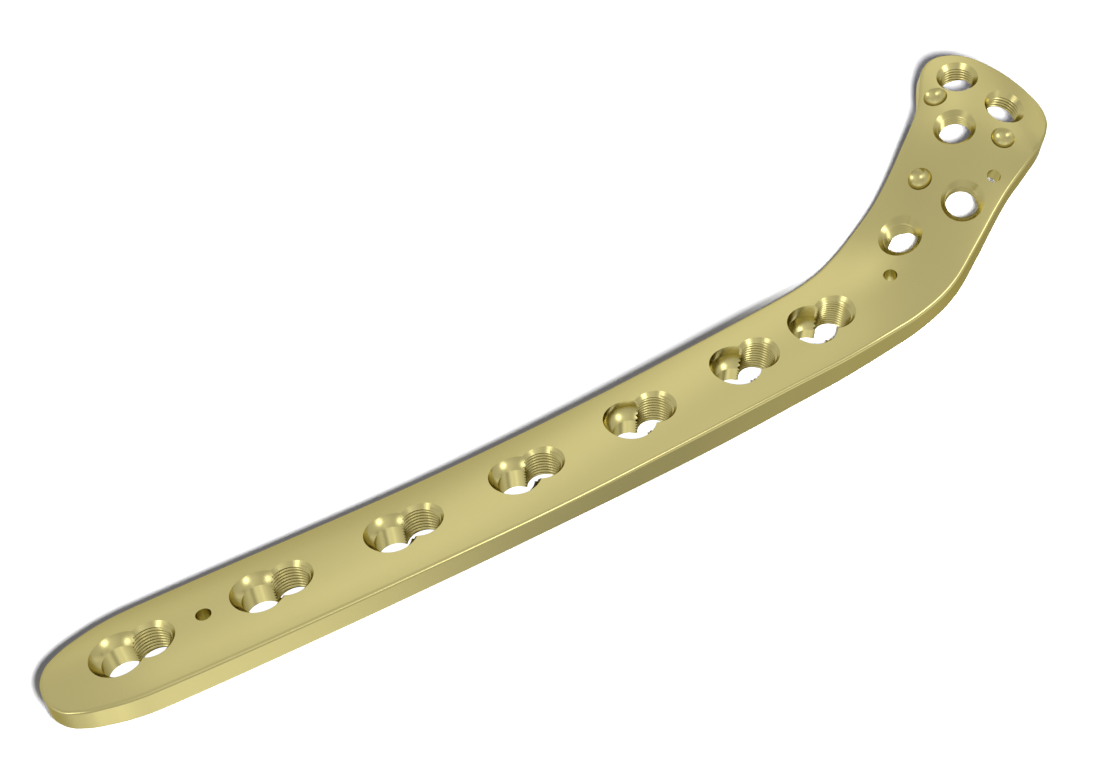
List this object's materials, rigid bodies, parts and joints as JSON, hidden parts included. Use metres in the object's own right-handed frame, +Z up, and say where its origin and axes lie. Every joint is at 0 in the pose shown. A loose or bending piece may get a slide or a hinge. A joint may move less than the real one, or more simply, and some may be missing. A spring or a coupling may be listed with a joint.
{
  "type": "orthopedic bone plate",
  "caption": "Long curved metal plate for the lower end of the upper arm bone, with a twisted shaft, a raised flared head, two-lobed slots, threaded holes and dimples.",
  "frame": {"origin": "centre of the plate's bounding box, at the height of the table it lies on", "axes": "+X along the plate, from the shaft's rounded tip to the head; +Z up as the plate lies with its bone side down; +Y to the side that the head sweeps to"},
  "size_m": [0.1618, 0.0402, 0.0202],
  "materials": {
    "gold_titanium": "satin, gold-anodised titanium"
  },
  "bodies": {
    "root": {"bone_plate": "gold_titanium"}
  },
  "joints": []
}
